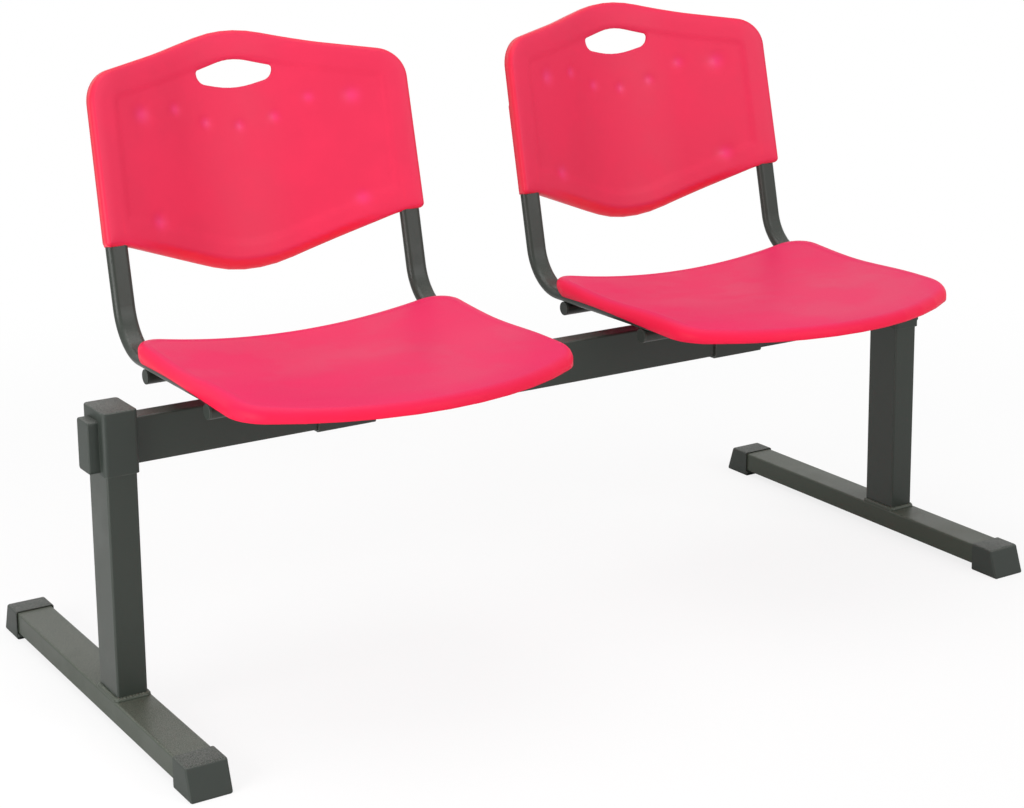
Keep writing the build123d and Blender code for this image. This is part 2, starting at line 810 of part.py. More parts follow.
# Pieces of each seat
plug_places = []
rail_places = []
clamp_places = []
seat_screw_all = []
for side, sign in sides:
    seat_place = [(sign * seat_x, 0, 0)]
    save(placed(carrier_plate.part, seat_place), f"carrier_plate_{side}")
    save(placed(saddle_clamp.part, seat_place), f"saddle_clamp_{side}")
    save(placed(seat_pan.part, seat_place), f"seat_pan_{side}")
    save(placed(back_shell.part, seat_place), f"back_shell_{side}")
    for end, end_sign in [("front", -1), ("rear", 1)]:
        tube_y = end_sign * cross_tube_spacing / 2
        save(placed(cross_tube.part, [(sign * seat_x, tube_y, 0)]), f"cross_tube_{end}_{side}")
        plug_places.append((sign * seat_x, tube_y, 0))
    for tube_side, tube_sign in sides:
        rail_x = sign * seat_x + tube_sign * side_tube_x
        save(placed(side_tube.part, [(rail_x, 0, 0)]), f"side_tube_{tube_side}_of_{side}_seat")
        rail_places.append((rail_x, 0, 0))
        seat_screw_all += [(rail_x, y, 0) for x, y in seat_screw_places]
    clamp_places += [(sign * seat_x + x, y, 0) for x, y in clamp_bolt_places]
plug_pair = [cross_tube_plug.part, mirror(cross_tube_plug.part, about=Plane.YZ)]
save(placed(plug_pair, plug_places), "cross_tube_plugs")
save(placed(rail_plug.part, rail_places), "rail_plugs")
save(placed(clamp_bolt, clamp_places), "clamp_bolts")
save(placed(clamp_nut, clamp_places), "clamp_nuts")
save(placed(seat_screw, seat_screw_all), "seat_screws")
save(placed(back_screw, rail_places), "back_screws")
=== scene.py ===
"""The looks of a two-seat beam bench: red moulded seats and backs on a dark painted steel frame."""

from math import cos, exp, pi, radians, sin, sqrt, tan

import bmesh
import bpy
from mathutils import Matrix, Vector
from mathutils.geometry import intersect_point_line
from mathutils.kdtree import KDTree


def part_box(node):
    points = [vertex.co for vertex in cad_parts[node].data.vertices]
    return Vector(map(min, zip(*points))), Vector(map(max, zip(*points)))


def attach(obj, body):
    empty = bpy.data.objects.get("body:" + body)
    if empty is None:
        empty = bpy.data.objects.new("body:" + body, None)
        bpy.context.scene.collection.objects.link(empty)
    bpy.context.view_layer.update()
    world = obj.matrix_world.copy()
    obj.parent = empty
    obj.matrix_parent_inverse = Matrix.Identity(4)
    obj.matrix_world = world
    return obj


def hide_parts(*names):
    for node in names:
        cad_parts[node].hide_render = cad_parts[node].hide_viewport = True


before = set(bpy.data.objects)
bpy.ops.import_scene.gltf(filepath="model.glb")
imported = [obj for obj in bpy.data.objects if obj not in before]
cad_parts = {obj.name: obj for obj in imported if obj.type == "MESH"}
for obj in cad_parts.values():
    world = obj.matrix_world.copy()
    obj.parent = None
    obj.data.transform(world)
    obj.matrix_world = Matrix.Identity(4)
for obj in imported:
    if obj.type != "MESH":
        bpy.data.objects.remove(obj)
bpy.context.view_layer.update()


# Foot tubes, posts and beam: rectangular steel tube, cut, slotted and welded into two stands and a
# rail, then powder coated dark grey. The coat is rubbed paler along the tubes' edges. The feet's coat is
# a paler copy with more dust: partly scuffs and dust, partly painted light that brightens the feet.
def shader_group(name, inputs, outputs):
    """Start a node group with number inputs, given as name and default, and named outputs."""
    group = bpy.data.node_groups.new(name, "ShaderNodeTree")
    for label, default in inputs:
        socket = group.interface.new_socket(label, in_out="INPUT", socket_type="NodeSocketFloat")
        socket.default_value = default
    for label, kind in outputs:
        group.interface.new_socket(label, in_out="OUTPUT", socket_type=kind)
    return group, group.nodes.new("NodeGroupInput"), group.nodes.new("NodeGroupOutput")


def noise_node(tree, scale, detail=2.0, roughness=0.5):
    """A noise texture on the piece's own place, in waves to the metre."""
    place = tree.nodes.new("ShaderNodeTexCoord")
    noise = tree.nodes.new("ShaderNodeTexNoise")
    noise.inputs["Scale"].default_value = scale
    noise.inputs["Detail"].default_value = detail
    noise.inputs["Roughness"].default_value = roughness
    tree.links.new(place.outputs["Object"], noise.inputs["Vector"])
    return noise


def ramp_node(tree, source, low, high, to_low=0.0, to_high=1.0):
    """Map a value from one range to another, smoothly, and hold it there."""
    ramp = tree.nodes.new("ShaderNodeMapRange")
    ramp.interpolation_type = "SMOOTHSTEP"
    ramp.inputs["From Min"].default_value = low
    ramp.inputs["From Max"].default_value = high
    ramp.inputs["To Min"].default_value = to_low
    ramp.inputs["To Max"].default_value = to_high
    tree.links.new(source, ramp.inputs["Value"])
    return ramp


def math_node(tree, operation, first, second):
    """Join two values, each a socket or a number."""
    node = tree.nodes.new("ShaderNodeMath")
    node.operation = operation
    for socket, value in zip(node.inputs, (first, second)):
        if isinstance(value, (int, float)):
            socket.default_value = value
        else:
            tree.links.new(value, socket)
    return node.outputs[0]


# The edge mask: where the surface turns within a short radius, broken up by noise
edge_group, edge_in, edge_out = shader_group(
    "edge_rub", [("Radius", 0.002), ("Break up", 60.0)], [("Mask", "NodeSocketFloat")]
)
edge_bevel = edge_group.nodes.new("ShaderNodeBevel")
edge_bevel.samples = 4
edge_normal = edge_group.nodes.new("ShaderNodeNewGeometry")
edge_dot = edge_group.nodes.new("ShaderNodeVectorMath")
edge_dot.operation = "DOT_PRODUCT"
edge_noise = noise_node(edge_group, 60.0, 3.0)
edge_group.links.new(edge_in.outputs["Radius"], edge_bevel.inputs["Radius"])
edge_group.links.new(edge_in.outputs["Break up"], edge_noise.inputs["Scale"])
edge_group.links.new(edge_bevel.outputs["Normal"], edge_dot.inputs[0])
edge_group.links.new(edge_normal.outputs["Normal"], edge_dot.inputs[1])
edge_turn = ramp_node(edge_group, edge_dot.outputs["Value"], 0.995, 0.86)
edge_break = ramp_node(edge_group, edge_noise.outputs["Fac"], 0.30, 0.62, 0.35, 1.0)
edge_mask = math_node(edge_group, "MULTIPLY", edge_turn.outputs[0], edge_break.outputs[0])
edge_group.links.new(edge_mask, edge_out.inputs["Mask"])

# The coat's surface: a fine orange peel, cloudy patches in its tone, and dust settled on upward faces,
# which is partly painted top light
coat_group, coat_in, coat_out = shader_group(
    "coat_surface",
    [("Peel", 420.0), ("Patches", 9.0)],
    [("Height", "NodeSocketFloat"), ("Cloud", "NodeSocketFloat"), ("Dust and top light", "NodeSocketFloat")],
)
coat_peel = noise_node(coat_group, 420.0, 3.0, 0.6)
coat_cloud = noise_node(coat_group, 9.0, 4.0, 0.55)
coat_speck = noise_node(coat_group, 900.0, 2.0, 0.7)
coat_face = coat_group.nodes.new("ShaderNodeNewGeometry")
coat_split = coat_group.nodes.new("ShaderNodeSeparateXYZ")
coat_group.links.new(coat_in.outputs["Peel"], coat_peel.inputs["Scale"])
coat_group.links.new(coat_in.outputs["Patches"], coat_cloud.inputs["Scale"])
coat_group.links.new(coat_face.outputs["Normal"], coat_split.inputs["Vector"])
coat_up = ramp_node(coat_group, coat_split.outputs["Z"], 0.3, 0.95)
coat_fleck = ramp_node(coat_group, coat_speck.outputs["Fac"], 0.38, 0.62)
coat_patch = ramp_node(coat_group, coat_cloud.outputs["Fac"], 0.35, 0.65)
coat_dust_and_top_light = math_node(coat_group, "MULTIPLY", coat_up.outputs[0], coat_fleck.outputs[0])
coat_group.links.new(coat_peel.outputs["Fac"], coat_out.inputs["Height"])
coat_group.links.new(coat_patch.outputs[0], coat_out.inputs["Cloud"])
coat_group.links.new(coat_dust_and_top_light, coat_out.inputs["Dust and top light"])


def mix_colour(tree, factor, first, second):
    """Mix two colours, each a socket or a colour, by a factor socket."""
    mix = tree.nodes.new("ShaderNodeMix")
    mix.data_type = "RGBA"
    tree.links.new(factor, mix.inputs[0])
    for socket, value in ((mix.inputs[6], first), (mix.inputs[7], second)):
        if isinstance(value, tuple):
            socket.default_value = (*value, 1.0)
        else:
            tree.links.new(value, socket)
    return mix.outputs[2]


def coated_material(name, colour, rubbed, dust_and_top_light, gloss, peel, peel_depth, edge_radius, specular):
    """A coated or moulded finish: cloudy colour, rubbed edges, dust on top that is partly painted top
    light, and a fine surface grain.
    """
    material = bpy.data.materials.new(name)
    material.use_nodes = True
    tree = material.node_tree
    shader = tree.nodes["Principled BSDF"]
    shader.inputs["Specular IOR Level"].default_value = specular
    coat = tree.nodes.new("ShaderNodeGroup")
    coat.node_tree = coat_group
    coat.inputs["Peel"].default_value = peel
    edge = tree.nodes.new("ShaderNodeGroup")
    edge.node_tree = edge_group
    edge.inputs["Radius"].default_value = edge_radius
    cloud_shade = 0.94
    cloud_rough = 0.08
    dust_and_top_light_cover = 0.35
    darker = tuple(cloud_shade * part for part in colour)
    body = mix_colour(tree, coat.outputs["Cloud"], darker, colour)
    # Dust on the upward faces, paler than the coat: partly real dust, partly painted light on the tops
    dust_and_top_light_share = math_node(tree, "MULTIPLY", coat.outputs["Dust and top light"], dust_and_top_light_cover)
    body = mix_colour(tree, dust_and_top_light_share, body, dust_and_top_light)
    body = mix_colour(tree, edge.outputs["Mask"], body, rubbed)
    tree.links.new(body, shader.inputs["Base Color"])
    rough = ramp_node(tree, coat.outputs["Cloud"], 0.0, 1.0, gloss, gloss + cloud_rough)
    tree.links.new(rough.outputs[0], shader.inputs["Roughness"])
    bump = tree.nodes.new("ShaderNodeBump")
    bump.inputs["Strength"].default_value = 1.0
    bump.inputs["Distance"].default_value = peel_depth
    tree.links.new(coat.outputs["Height"], bump.inputs["Height"])
    tree.links.new(bump.outputs["Normal"], shader.inputs["Normal"])
    return material


def mark_material(material, mark, colour, roughness):
    """Where a mark painted on the mesh is one, turn a finish to another colour and roughness."""
    tree = material.node_tree
    shader = tree.nodes["Principled BSDF"]
    share = tree.nodes.new("ShaderNodeAttribute")
    share.attribute_name = mark
    body = mix_colour(tree, share.outputs["Fac"], shader.inputs["Base Color"].links[0].from_socket, colour)
    tree.links.new(body, shader.inputs["Base Color"])
    rough = tree.nodes.new("ShaderNodeMix")
    tree.links.new(share.outputs["Fac"], rough.inputs[0])
    tree.links.new(shader.inputs["Roughness"].links[0].from_socket, rough.inputs[2])
    rough.inputs[3].default_value = roughness
    tree.links.new(rough.outputs[0], shader.inputs["Roughness"])


def finish_nodes(material, *names):
    """Give CAD pieces a material."""
    for name in names:
        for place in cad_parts[name].material_slots:
            place.material = material


frame_paint = coated_material(
    "dark_frame_coat",
    colour=(0.022, 0.028, 0.022),
    rubbed=(0.085, 0.092, 0.082),
    dust_and_top_light=(0.170, 0.176, 0.160),
    gloss=0.34,
    peel=520.0,
    peel_depth=0.00012,
    edge_radius=0.0022,
    specular=0.35,
)
# A paler copy of the frame coat for the feet: scuffs and dust, and painted light that brightens them
foot_paint_with_painted_light = coated_material(
    "scuffed_foot_coat_with_painted_light",
    colour=(0.030, 0.038, 0.026),
    rubbed=(0.110, 0.117, 0.100),
    dust_and_top_light=(0.260, 0.275, 0.230),
    gloss=0.38,
    peel=520.0,
    peel_depth=0.00012,
    edge_radius=0.0022,
    specular=0.35,
)
finish_nodes(foot_paint_with_painted_light, "foot_tube_left", "foot_tube_right")
finish_nodes(frame_paint, "post_left", "post_right", "beam_tube")
finish_nodes(frame_paint, "bearing_plate_left", "bearing_plate_right")


# Weld beads: one run of weld round the foot of each post, laid in overlapping ripples and coated
# over with the frame. Each starts as a spun ring that is pulled out to the post's corners and rippled.
post_x = 0.640
beam_y = -0.044
foot_top = 0.0387
post_half = (0.020, 0.030)
bead_corner = 0.0038
bead_radius = 0.0040
bead_stand_off = 0.0006
bead_sides = 12
bead_turn_steps = 36
bead_run_cuts = 44
shortest_run = 0.02
ripple_length = 0.0042
ripple_depth = 0.24
ripple_lean = 0.8
for side, sign in (("left", -1), ("right", 1)):
    bead = bmesh.new()
    ring = bmesh.ops.create_circle(bead, segments=bead_sides, radius=bead_radius)
    bmesh.ops.rotate(bead, verts=ring["verts"], matrix=Matrix.Rotation(radians(90), 3, "X"))
    bmesh.ops.translate(bead, verts=ring["verts"], vec=(bead_corner + bead_stand_off, 0, 0))
    bmesh.ops.spin(
        bead, geom=bead.verts[:] + bead.edges[:], angle=2 * pi, steps=bead_turn_steps, axis=(0, 0, 1),
        cent=(0, 0, 0), use_merge=True,
    )
    half_step = Matrix.Rotation(pi / bead_turn_steps, 3, "Z")
    bmesh.ops.rotate(bead, verts=bead.verts[:], matrix=half_step)
    bmesh.ops.remove_doubles(bead, verts=bead.verts[:], dist=1e-6)
    for vert in bead.verts:
        vert.co.x += (post_half[0] - bead_corner) * (1 if vert.co.x > 0 else -1)
        vert.co.y += (post_half[1] - bead_corner) * (1 if vert.co.y > 0 else -1)
    runs = [edge for edge in bead.edges if edge.calc_length() > shortest_run]
    bmesh.ops.subdivide_edges(bead, edges=runs, cuts=bead_run_cuts, use_grid_fill=True)
    for vert in bead.verts:
        if abs(vert.co.x) > post_half[0] - bead_corner:
            along = vert.co.y
        else:
            along = vert.co.x
        phase = pi * along / ripple_length + ripple_lean * vert.co.z / bead_radius
        vert.co.z *= 1.0 + ripple_depth * abs(sin(phase))
    bmesh.ops.translate(bead, verts=bead.verts[:], vec=(sign * post_x, beam_y, foot_top))
    bmesh.ops.recalc_face_normals(bead, faces=bead.faces[:])
    for face in bead.faces:
        face.smooth = True
    weld_mesh = bpy.data.meshes.new(f"weld_bead_{side}")
    bead.to_mesh(weld_mesh)
    bead.free()
    # The bead takes the feet's paler coat, with its painted light
    weld_mesh.materials.append(foot_paint_with_painted_light)
    weld = bpy.data.objects.new(f"weld_bead_{side}", weld_mesh)
    bpy.context.scene.collection.objects.link(weld)
    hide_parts(f"post_weld_{side}")
    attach(weld, "root")


# Foot caps, joint covers, beam end caps and tube plugs: black moulded plastic, pushed on or into the
# tubes. It is more matt than the coat, with a coarse spark-eroded grain and rubbed, greyer edges.
# Its pale dust colour on the covers' and caps' tops is partly dust and partly painted top light
dark_plastic = coated_material(
    "dark_moulded_plastic",
    colour=(0.023, 0.029, 0.024),
    rubbed=(0.085, 0.092, 0.080),
    dust_and_top_light=(0.280, 0.288, 0.265),
    gloss=0.46,
    peel=900.0,
    peel_depth=0.00010,
    edge_radius=0.0016,
    specular=0.3,
)
finish_nodes(dark_plastic, "joint_cover_left", "joint_cover_right")
finish_nodes(dark_plastic, "beam_end_cap_left", "beam_end_cap_right")
finish_nodes(dark_plastic, "cross_tube_plugs", "rail_plugs")

# The foot caps' socket takes the tube; the nose leans back from its toe and every outer edge is rounded
cap_lean = 0.0141
cap_round = 0.0032
cap_wall = 0.0019
cap_sole = 0.0085
cap_socket = 0.034
for side in ("left", "right"):
    for end, outward in (("front", -1), ("rear", 1)):
        low, high = (Vector(corner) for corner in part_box(f"foot_cap_{end}_{side}"))
        cap = bmesh.new()
        bmesh.ops.create_cube(cap, size=1.0)
        bmesh.ops.scale(cap, verts=cap.verts[:], vec=high - low)
        middle = (low + high) / 2
        bmesh.ops.translate(cap, verts=cap.verts[:], vec=middle)
        for vert in cap.verts:
            if vert.co.z > middle.z and (vert.co.y - middle.y) * outward > 0:
                vert.co.y -= outward * cap_lean
        cap.normal_update()
        mouth = min(cap.faces, key=lambda face: face.normal.y * outward)
        outer_edges = [edge for edge in cap.edges if mouth not in edge.link_faces]
        bmesh.ops.bevel(
            cap, geom=outer_edges, offset=cap_round, offset_type="OFFSET", segments=4, profile=0.5,
            affect="EDGES", material=-1,
        )
        cap.normal_update()
        mouth = min(cap.faces, key=lambda face: (face.normal.y * outward, -face.calc_area()))
        bmesh.ops.inset_individual(cap, faces=[mouth], thickness=cap_wall, use_even_offset=True)
        for vert in mouth.verts:
            vert.co.z = max(vert.co.z, low.z + cap_sole)
        socket = bmesh.ops.extrude_discrete_faces(cap, faces=[mouth])["faces"][0]
        bmesh.ops.translate(cap, verts=socket.verts[:], vec=(0, outward * cap_socket, 0))
        bmesh.ops.recalc_face_normals(cap, faces=cap.faces[:])
        for face in cap.faces:
            face.smooth = True
        cap_mesh = bpy.data.meshes.new(f"moulded_cap_{end}_{side}")
        cap.to_mesh(cap_mesh)
        cap.free()
        cap_mesh.materials.append(dark_plastic)
        cap_piece = bpy.data.objects.new(f"moulded_cap_{end}_{side}", cap_mesh)
        bpy.context.scene.collection.objects.link(cap_piece)
        even = cap_piece.modifiers.new("even_shading", "WEIGHTED_NORMAL")
        even.keep_sharp = True
        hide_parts(f"foot_cap_{end}_{side}")
        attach(cap_piece, "root")


# Carrier plates, saddle clamps, cross tubes and side tubes: flat plate, bent strap, round tube and bent
# flat-oval tube, welded or bolted together under each seat and coated with the frame.
for side in ("left", "right"):
    finish_nodes(frame_paint, f"carrier_plate_{side}", f"saddle_clamp_{side}")
    finish_nodes(frame_paint, f"cross_tube_front_{side}", f"cross_tube_rear_{side}")
    finish_nodes(frame_paint, f"side_tube_left_of_{side}_seat", f"side_tube_right_of_{side}_seat")


# Bolts, nuts, washers and screws: zinc-plated steel, turned and rolled, with fine turning marks and a
# faint bloom over the plating.
zinc = bpy.data.materials.new("zinc_plate")
zinc.use_nodes = True
zinc_tree = zinc.node_tree
zinc_shader = zinc_tree.nodes["Principled BSDF"]
zinc_shader.inputs["Metallic"].default_value = 1.0
zinc_bloom = noise_node(zinc_tree, 180.0, 4.0, 0.6)
zinc_marks = noise_node(zinc_tree, 1600.0, 2.0, 0.6)
zinc_patch = ramp_node(zinc_tree, zinc_bloom.outputs["Fac"], 0.35, 0.65)
zinc_colour = mix_colour(zinc_tree, zinc_patch.outputs[0], (0.52, 0.53, 0.52), (0.66, 0.66, 0.64))
zinc_tree.links.new(zinc_colour, zinc_shader.inputs["Base Color"])
zinc_rough = ramp_node(zinc_tree, zinc_bloom.outputs["Fac"], 0.3, 0.7, 0.30, 0.48)
zinc_tree.links.new(zinc_rough.outputs[0], zinc_shader.inputs["Roughness"])
zinc_bump = zinc_tree.nodes.new("ShaderNodeBump")
zinc_bump.inputs["Distance"].default_value = 0.00006
zinc_tree.links.new(zinc_marks.outputs["Fac"], zinc_bump.inputs["Height"])
zinc_tree.links.new(zinc_bump.outputs["Normal"], zinc_shader.inputs["Normal"])
finish_nodes(zinc, "beam_bolts", "beam_nuts", "beam_washers", "clamp_bolts", "clamp_nuts")
finish_nodes(zinc, "seat_screws", "back_screws")


# Seat pans: injection-moulded red polypropylene, dished at the rear and rolled over at the front, with
# a skirt that laps the rails and screw bosses under the skin. Screwed up through the rails.
# The seat's red is a paler, pinker copy of the back's: painted sheen from the light above. Its dust colour
# on the top is pinker still, more painted sheen
seat_red_with_painted_sheen = coated_material(
    "red_seat_plastic_painted_sheen",
    colour=(0.76, 0.026, 0.118),
    rubbed=(0.82, 0.034, 0.10),
    dust_and_top_light=(0.76, 0.060, 0.15),
    gloss=0.46,
    peel=1100.0,
    peel_depth=0.00006,
    edge_radius=0.0025,
    specular=0.085,
)
# The lip and skirt are marked a deeper red: painted shade where the edge turns down away from the light
mark_material(seat_red_with_painted_sheen, "shaded_lip", (0.80, 0.014, 0.058), 0.42)


def corner_arc(before, corner, after, radius):
    """The arc that rounds a corner between two straight runs: its start, its centre and its turn."""
    to_before = (before - corner).normalized()
    to_after = (after - corner).normalized()
    turn = pi - to_before.angle(to_after)
    start = corner + to_before * radius * tan(turn / 2)
    hand = 1 if to_before.x * to_after.y - to_before.y * to_after.x < 0 else -1
    centre = start + hand * radius * Vector((to_before.y, -to_before.x))
    return start, centre, hand * turn


def rounded_loop(sheet, arcs):
    """Draw a closed flat outline of arcs, each a start, a centre and a turn, joined by straight runs."""
    fewest_steps = 5
    steps_per_radian = 9
    chains = []
    for start, centre, turn in arcs:
        first = sheet.verts.new((*start, 0))
        spun = bmesh.ops.spin(
            sheet, geom=[first], cent=(*centre, 0), axis=(0, 0, 1), angle=turn,
            steps=max(fewest_steps, round(abs(turn) * steps_per_radian)),
        )
        last = [item for item in spun["geom_last"] if isinstance(item, bmesh.types.BMVert)][0]
        chains.append((first, last))
    for place, (first, last) in enumerate(chains):
        sheet.edges.new((last, chains[(place + 1) % len(chains)][0]))
    bmesh.ops.remove_doubles(sheet, verts=sheet.verts[:], dist=0.0001)


def nearest_on(runs):
    """Give a function that finds the nearest point of some straight runs and how far away it is."""
    spacing = 0.001
    spots = []
    for start, end in runs:
        steps = max(1, round((end - start).length / spacing))
        spots += [(start.lerp(end, (step + 0.5) / steps), start, end) for step in range(steps)]
    tree = KDTree(len(spots))
    for place, spot in enumerate(spots):
        tree.insert(spot[0], place)
    tree.balance()

    def find(point):
        start, end = spots[tree.find(point)[1]][1:]
        share = intersect_point_line(point, start, end)[1]
        nearest = start.lerp(end, min(1.0, max(0.0, share)))
        return nearest, (point - nearest).length

    return find


def moulded_sheet(loops, insets, cell):
    """A flat sheet inside a rounded outline, perhaps with a hole. Rings are drawn in from its edges, with
    a grid of cells inside them. Gives the sheet, and for each loop a function that finds its nearest point.
    """
    sheet = bmesh.new()
    finders = []
    for arcs in loops:
        older = set(sheet.verts)
        rounded_loop(sheet, arcs)
        runs = [edge.verts for edge in sheet.edges if edge.verts[0] not in older]
        finders.append(nearest_on([(start.co.copy(), end.co.copy()) for start, end in runs]))
    bmesh.ops.triangle_fill(sheet, use_beauty=False, edges=sheet.edges[:], normal=(0, 0, 1))
    on_seam = 1e-6
    bmesh.ops.bisect_plane(
        sheet, geom=sheet.verts[:] + sheet.edges[:] + sheet.faces[:], plane_co=(0, 0, 0),
        plane_no=(1, 0, 0), dist=on_seam,
    )
    # Only a sheet with a hole keeps a seam down its middle, with no points between the seam's ends
    spare = [edge for edge in sheet.edges if len(edge.link_faces) == 2]
    if len(loops) > 1:
        spare = [edge for edge in spare if max(abs(vert.co.x) for vert in edge.verts) > on_seam]
    bmesh.ops.dissolve_edges(sheet, edges=spare, use_verts=False)
    between_ends = [
        vert for vert in sheet.verts if all(len(edge.link_faces) == 2 for edge in vert.link_edges)
    ]
    bmesh.ops.dissolve_verts(sheet, verts=between_ends)
    kind = sheet.faces.layers.int.new("kind")
    across, along, inside = 1, 2, 3
    field = sheet.faces[:]
    drawn_in = 0.0
    for inset in insets:
        made = bmesh.ops.inset_region(
            sheet, faces=field, thickness=inset - drawn_in, use_even_offset=True, use_boundary=True
        )
        drawn_in = inset
        for face in made["faces"]:
            longest = max(face.edges, key=lambda edge: edge.calc_length())
            run = longest.verts[0].co - longest.verts[1].co
            face[kind] = across if abs(run.x) > abs(run.y) else along
    for face in field:
        face[kind] = inside
    low = Vector((min(vert.co.x for vert in sheet.verts), min(vert.co.y for vert in sheet.verts)))
    high = Vector((max(vert.co.x for vert in sheet.verts), max(vert.co.y for vert in sheet.verts)))
    for axis, normal, kinds in ((0, (1, 0, 0), (across, inside)), (1, (0, 1, 0), (along, inside))):
        # An odd count of cells keeps the cuts off the seam
        count = round((high[axis] - low[axis]) / cell) // 2 * 2 + 1
        for cut in range(1, count):
            level = low[axis] + (high[axis] - low[axis]) * cut / count
            faces = []
            for face in sheet.faces:
                spread = [vert.co[axis] for vert in face.verts]
                if face[kind] in kinds and min(spread) < level < max(spread):
                    faces.append(face)
            edges = {edge for face in faces for edge in face.edges}
            verts = {vert for face in faces for vert in face.verts}
            spot = (level, 0, 0) if axis == 0 else (0, level, 0)
            bmesh.ops.bisect_plane(
                sheet, geom=faces + list(edges) + list(verts), plane_co=spot, plane_no=normal, dist=2e-5
            )
    # Points much closer than the narrowest ring are slivers of the cuts
    sliver = 0.6 * insets[0]
    bmesh.ops.remove_doubles(sheet, verts=sheet.verts[:], dist=sliver)
    bmesh.ops.dissolve_degenerate(sheet, edges=sheet.edges[:], dist=sliver)
    bmesh.ops.recalc_face_normals(sheet, faces=sheet.faces[:])
    if sum(face.normal.z for face in sheet.faces) < 0:
        bmesh.ops.reverse_faces(sheet, faces=sheet.faces[:])
    return sheet, finders


def roll_insets(radius, rings):
    """Where the rings of a rounded edge lie, as distances in from the outline."""
    return [radius * (1 - cos(ring / rings * pi / 2)) for ring in range(1, rings + 1)]


def soft_step(value, low, high):
    """Nought below low, one above high, and a smooth rise between them."""
    share = min(1.0, max(0.0, (value - low) / (high - low)))
    return share * share * (3 - 2 * share)


def rolled_edge(distance, radius):
    """How far a rounded edge has dropped at a distance in from the outline."""
    inward = max(0.0, radius - distance)
    return radius - sqrt(max(0.0, radius * radius - inward * inward))


seat_half = 0.2392
dish_half = 0.2492
seat_rear = 0.090
seat_front = -0.329
seat_front_radius = 0.385
seat_front_corner = 0.062
seat_rear_corner = 0.047
seat_roll = 0.011
seat_skin = 0.003
seat_lip_shade_reach = 0.011
rail_top = 0.436
side_tube_x = 0.2207
seat_x = 0.3227
front_fall = 0.0040
front_reach = 0.045
side_bead = 0.0008
side_bead_in = 0.0148
side_bead_width = 0.0026
front_from, front_to = 0.205, 0.285
seat_cell = 0.005
seat_roll_rings = 5
boss_radius = 0.009
boss_rows = (-0.114, 0.016)
skirt_foot_rear = 0.4325
skirt_drop = 0.0085
skirt_drop_reach = 0.270
skirt_arch_front = 0.0015
skirt_arch_more = 0.0140
skirt_over_tube = 0.4395
tube_rows = (0.040, 0.062)
tube_sides = (0.196, 0.204)

# Places along the seat, rear to front: Y, the side's top, and the dish between the sides
seat_lines = [
    (0.100, 0.4625, 0.030),
    (-0.044, 0.448, 0.015),
    (-0.174, 0.448, 0.007),
    (-0.339, 0.4415, 0.0015),
]


def between(lines, place, column):
    """A smooth curve through one column of a table of places."""
    for number in range(len(lines) - 1):
        start, end = lines[number], lines[number + 1]
        if place >= end[0] or number == len(lines) - 2:
            share = (start[0] - place) / (start[0] - end[0])
            before = lines[max(0, number - 1)]
            after = lines[min(len(lines) - 1, number + 2)]
            rise = (end[column] - before[column]) / (before[0] - end[0]) * (start[0] - end[0])
            fall = (after[column] - start[column]) / (start[0] - after[0]) * (start[0] - end[0])
            square, cube = share**2, share**3
            return (
                (2 * cube - 3 * square + 1) * start[column] + (cube - 2 * square + share) * rise
                + (3 * square - 2 * cube) * end[column] + (cube - square) * fall
            )


def seat_top(x, y):
    """The height of the seat's top face."""
    return between(seat_lines, y, 1) - between(seat_lines, y, 2) * (1 - (x / dish_half) ** 2)


def skirt_foot(x, y):
    """The height of the skirt's lower edge: over the tubes at the rear corners, and arched between them."""
    arch = skirt_arch_front + skirt_arch_more * soft_step(y, beam_y, seat_rear)
    foot = skirt_foot_rear - skirt_drop * soft_step(-y, 0.0, skirt_drop_reach)
    foot -= arch * (1 - (x / dish_half) ** 2)
    over_tube = soft_step(y, *tube_rows) * soft_step(abs(x), *tube_sides)
    return foot + (skirt_over_tube - foot) * over_tube


# The outline's arcs: rear corners, front corners and the long bow of the front edge
front_centre = Vector((0, seat_front + seat_front_radius))
corner_x = seat_half - seat_front_corner
corner_y = front_centre.y - sqrt((seat_front_radius - seat_front_corner) ** 2 - corner_x**2)
front_swing = Vector((-corner_x, corner_y - front_centre.y)).normalized()
front_angle = Vector((-1, 0)).angle(front_swing)
rear_x = seat_half - seat_rear_corner
rear_y = seat_rear - seat_rear_corner
seat_arcs = [
    (Vector((-rear_x, seat_rear)), Vector((-rear_x, rear_y)), pi / 2),
    (Vector((-seat_half, corner_y)), Vector((-corner_x, corner_y)), front_angle),
    (front_centre + front_swing * seat_front_radius, front_centre, pi - 2 * front_angle),
    (
        Vector((corner_x, corner_y)) + Vector((-front_swing.x, front_swing.y)) * seat_front_corner,
        Vector((corner_x, corner_y)),
        front_angle,
    ),
    (Vector((seat_half, rear_y)), Vector((rear_x, rear_y)), pi / 2),
]
